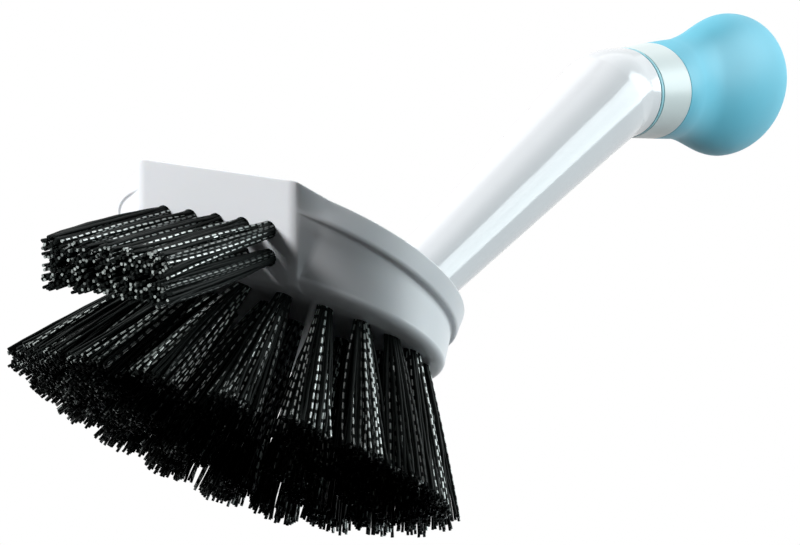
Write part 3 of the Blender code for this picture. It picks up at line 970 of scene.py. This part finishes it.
def make_tuft(node, outward, trim, bristles, count, radius, pattern, spread, chance, sweep):
    """One tuft: filaments from the hole's mouth to the trimmed plane of the tips."""
    root, tip = tuft_ends(node, outward, trim)
    if sweep:
        tip = tip + sweep(tip)
    surface = root + outward * ROOT_DEPTH
    side = Vector((0, 1, 0))
    other = trim.cross(side).normalized()
    filaments = []
    for u, v in disc_places(count, 1.0, chance):
        start = surface + (side * u + other * v) * bristles.root_radius
        stray = drift(side, other, chance)
        bend = drift(side, other, chance)
        end = tip + (side * u + other * v) * spread + stray * bristles.stray
        end = end + trim * chance.uniform(-TRIM_SLACK, 0.0)
        end = within_cad(end, MARGIN_IN_RADII * radius)
        turn = chance.uniform(0, 2 * pi)
        phase = chance.uniform(0, bristles.pitch)
        mesh = bend_filament(pattern, start, end, bend * BOW, bristles.wave, radius, turn, phase)
        filament = bpy.data.objects.new("filament", mesh)
        bpy.context.collection.objects.link(filament)
        filaments.append(filament)
    deselect_all()
    for filament in filaments:
        filament.select_set(True)
    bpy.context.view_layer.objects.active = filaments[0]
    bpy.ops.object.join()
    tuft = bpy.context.object
    tuft.name = node + "_bristles"
    tuft.data.name = node + "_bristles"
    return tuft


def plant_tufts(nodes, nylon_name, seed, outward, trim, count, radius, spread, sweep=None):
    """Every tuft of one side of the head, each in place of its CAD node."""
    brush = bpy.context.scene.dish_brush
    pattern = filament_pattern()
    nylon = crimped_nylon(nylon_name, brush.finishes.nylon, brush.bristles.pitch)
    chance = random.Random(seed)
    for node in nodes:
        tuft = make_tuft(node, outward, trim, brush.bristles, count, radius, pattern, spread,
                         chance, sweep)
        finish(tuft, nylon, "black_nylon", node, angle=TUFT_SMOOTHING)
    bpy.data.meshes.remove(pattern)


class DISHBRUSH_OT_front_bristles(Operator):
    """Plant the two rows of tufts on the slanted pad"""

    bl_idname = "dishbrush.front_bristles"
    bl_label = "Front bristles"

    def execute(self, context):
        brush = context.scene.dish_brush
        outward = pad_outward(brush.head)
        plant_tufts(FRONT_TUFTS, "front_nylon", FRONT_SEED, outward, outward,
                    brush.bristles.front_count, brush.bristles.front_radius, FRONT_SPREAD)
        return {"FINISHED"}


class DISHBRUSH_OT_base_bristles(Operator):
    """Plant the rings of tufts on the underside"""

    bl_idname = "dishbrush.base_bristles"
    bl_label = "Base bristles"

    def execute(self, context):
        brush = context.scene.dish_brush
        outward = underside_outward(brush.head)
        down = Vector((0, 0, -1))
        plant_tufts(BASE_TUFTS, "base_nylon", BASE_SEED, outward, down,
                    brush.bristles.base_count, brush.bristles.base_radius, BASE_SPREAD,
                    base_sweep)
        return {"FINISHED"}


# Stage

FLOOR_SIDES = 64
FLOOR_RADIUS = 0.9
FLOOR_DROP = 0.0004
FLOOR_AS_LIGHT = (0.01, 0.01, 0.01)
COOL = (0.90, 1.0, 1.02)
SOFT_LIGHT = 0.008

# The point that every lamp faces, as measured from HEAD_TOP, and how far off the lamps are
LAMP_AIM = Vector((0.03, 0, 0.03))
LAMP_DISTANCE = 1.2

# The photograph's camera, as solved from the outlines. Its target is measured from HEAD_TOP
PHOTO_WIDTH = 800
SENSOR_WIDTH = 36.0
FOCAL_PIXELS = 6485.25
CAMERA_AZIMUTH = radians(33.86)
CAMERA_ELEVATION = radians(19.19)
CAMERA_ROLL = radians(21.02)
CAMERA_DISTANCE = 1.17
CAMERA_TARGET = Vector((0.00936, -0.01672, 0.00296))
CAMERA_RANGE = 20


def direction(azimuth, elevation):
    """A direction from its angle round the upright and its angle above level."""
    return Vector((cos(elevation) * cos(azimuth), cos(elevation) * sin(azimuth),
                   sin(elevation)))


def add_softbox(name, azimuth, elevation, width, height, power, along=(0, 0, 0),
                colour=(1, 1, 1)):
    """A softbox that faces the brush, with its long side level or turned along a direction."""
    light = bpy.data.lights.new(name, "AREA")
    light.shape = "RECTANGLE"
    light.size = width
    light.size_y = height
    light.energy = power
    light.color = colour
    lamp = bpy.data.objects.new(name, light)
    bpy.context.scene.collection.objects.link(lamp)
    away = direction(radians(azimuth), radians(elevation))
    side = Vector(along) if any(along) else Vector((0, 0, 1)).cross(away)
    upright = away.cross(side).normalized()
    side = upright.cross(away)
    lamp.rotation_euler = Matrix((side, upright, away)).transposed().to_euler()
    lamp.location = HEAD_TOP + LAMP_AIM + LAMP_DISTANCE * away


def add_lamps():
    """A front softbox, a big cool one at the right, a dim ceiling and two faint lamps."""
    add_softbox("front_softbox", azimuth=140, elevation=4, width=0.50, height=0.26, power=21.5)
    add_softbox("right_softbox", azimuth=-62, elevation=37, width=0.86, height=1.10, power=13.5,
                along=(0.841, -0.081, -0.535), colour=COOL)
    add_softbox("low_softbox", azimuth=-70, elevation=14, width=0.20, height=0.24, power=0.5,
                colour=COOL)
    add_softbox("left_softbox", azimuth=83, elevation=56, width=0.77, height=0.25, power=0.4,
                along=(0.436, 0.375, -0.277))
    add_softbox("ceiling", azimuth=-40, elevation=72, width=1.4, height=1.4, power=5.0)


def add_camera():
    """The camera at the photograph's angle."""
    look = direction(CAMERA_AZIMUTH, CAMERA_ELEVATION)
    camera_data = bpy.data.cameras.new("camera")
    camera_data.sensor_width = SENSOR_WIDTH
    camera_data.lens = FOCAL_PIXELS * SENSOR_WIDTH / PHOTO_WIDTH
    camera_data.clip_end = CAMERA_RANGE
    camera = bpy.data.objects.new("camera", camera_data)
    bpy.context.scene.collection.objects.link(camera)
    camera.location = HEAD_TOP + CAMERA_TARGET - look * CAMERA_DISTANCE
    level = look.to_track_quat("-Z", "Y").to_matrix()
    camera.rotation_euler = (level @ Matrix.Rotation(CAMERA_ROLL, 3, "Z")).to_euler()
    bpy.context.scene.camera = camera


def seen_directly(nodes, links):
    """One for rays from the camera and for reflections, and zero for diffuse light."""
    path = nodes.new("ShaderNodeLightPath")
    total = path.outputs["Is Camera Ray"]
    for other in ("Is Glossy Ray", "Is Transmission Ray"):
        either = nodes.new("ShaderNodeMath")
        either.operation = "MAXIMUM"
        links.new(total, either.inputs[0])
        links.new(path.outputs[other], either.inputs[1])
        total = either.outputs["Value"]
    return total


def studio_world():
    """White to the camera and in reflections, and a faint pale light on everything else."""
    world = bpy.data.worlds.new("studio")
    bpy.context.scene.world = world
    world.use_nodes = True
    nodes, links = world.node_tree.nodes, world.node_tree.links
    soft = nodes["Background"]
    soft.inputs["Color"].default_value = (0.86, 0.93, 1.0, 1)
    soft.inputs["Strength"].default_value = SOFT_LIGHT
    white = nodes.new("ShaderNodeBackground")
    white.inputs["Color"].default_value = (1, 1, 1, 1)
    mix = nodes.new("ShaderNodeMixShader")
    links.new(seen_directly(nodes, links), mix.inputs["Fac"])
    links.new(soft.outputs["Background"], mix.inputs[1])
    links.new(white.outputs["Background"], mix.inputs[2])
    links.new(mix.outputs["Shader"], nodes["World Output"].inputs["Surface"])


def floor_material():
    """Pale to the camera, dim as a source of light, and clear from below."""
    material, nodes, links, shader = new_material("pale_floor")
    shader.inputs["Roughness"].default_value = 0.9
    grain = object_noise(nodes, links, scale=40.0)
    pale = vary_colour(nodes, links, grain.outputs["Fac"], (0.92, 0.93, 0.94),
                       (0.94, 0.95, 0.96))
    tint = nodes.new("ShaderNodeMix")
    tint.data_type = "RGBA"
    tint.inputs["A"].default_value = (*FLOOR_AS_LIGHT, 1)
    links.new(pale, tint.inputs["B"])
    links.new(seen_directly(nodes, links), tint.inputs["Factor"])
    links.new(tint.outputs["Result"], shader.inputs["Base Color"])
    clear = nodes.new("ShaderNodeBsdfTransparent")
    side = nodes.new("ShaderNodeNewGeometry")
    mix = nodes.new("ShaderNodeMixShader")
    links.new(side.outputs["Backfacing"], mix.inputs["Fac"])
    links.new(shader.outputs["BSDF"], mix.inputs[1])
    links.new(clear.outputs["BSDF"], mix.inputs[2])
    links.new(mix.outputs["Shader"], nodes["Material Output"].inputs["Surface"])
    return material


class DISHBRUSH_OT_stage(Operator):
    """Set up the floor, the soft studio light and the camera at the photograph's angle"""

    bl_idname = "dishbrush.stage"
    bl_label = "Stage"

    def execute(self, context):
        deselect_all()
        bpy.ops.mesh.primitive_circle_add(
            vertices=FLOOR_SIDES, radius=FLOOR_RADIUS, fill_type="NGON",
            location=(0, 0, -FLOOR_DROP))
        floor = context.object
        floor.name = "floor"
        floor.data.materials.append(floor_material())
        studio_world()
        add_lamps()
        add_camera()
        context.scene.view_settings.view_transform = "Standard"
        return {"FINISHED"}


class DISHBRUSH_PT_panel(Panel):
    """Lists the brush's sizes, colours and pieces in the sidebar"""

    bl_label = "Dish brush"
    bl_idname = "DISHBRUSH_PT_panel"
    bl_space_type = "VIEW_3D"
    bl_region_type = "UI"
    bl_category = "Dish brush"

    def draw(self, context):
        brush = context.scene.dish_brush
        for group in (brush.head, brush.bristles, brush.handle, brush.finishes):
            box = self.layout.box()
            for name in group.bl_rna.properties.keys():
                if name not in ("rna_type", "name"):
                    box.prop(group, name)
        for operator in OPERATORS:
            self.layout.operator(operator.bl_idname)


OPERATORS = (
    DISHBRUSH_OT_head,
    DISHBRUSH_OT_shaft,
    DISHBRUSH_OT_bands,
    DISHBRUSH_OT_grip,
    DISHBRUSH_OT_plug,
    DISHBRUSH_OT_front_bristles,
    DISHBRUSH_OT_base_bristles,
    DISHBRUSH_OT_stage,
)
GROUPS = (HeadSizes, BristleSizes, HandleSizes, Finishes, DishBrush)


def register():
    """Add the brush's settings, operators and panel to Blender."""
    for group in (*GROUPS, *OPERATORS, DISHBRUSH_PT_panel):
        bpy.utils.register_class(group)
    bpy.types.Scene.dish_brush = PointerProperty(type=DishBrush)


def unregister():
    """Take them out again."""
    del bpy.types.Scene.dish_brush
    for group in reversed((*GROUPS, *OPERATORS, DISHBRUSH_PT_panel)):
        bpy.utils.unregister_class(group)


def main():
    """Build every piece and the stage."""
    register()
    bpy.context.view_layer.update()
    bpy.ops.dishbrush.head()
    bpy.ops.dishbrush.shaft()
    bpy.ops.dishbrush.bands()
    bpy.ops.dishbrush.grip()
    bpy.ops.dishbrush.plug()
    bpy.ops.dishbrush.front_bristles()
    bpy.ops.dishbrush.base_bristles()
    bpy.ops.dishbrush.stage()


if __name__ == "__main__":
    main()
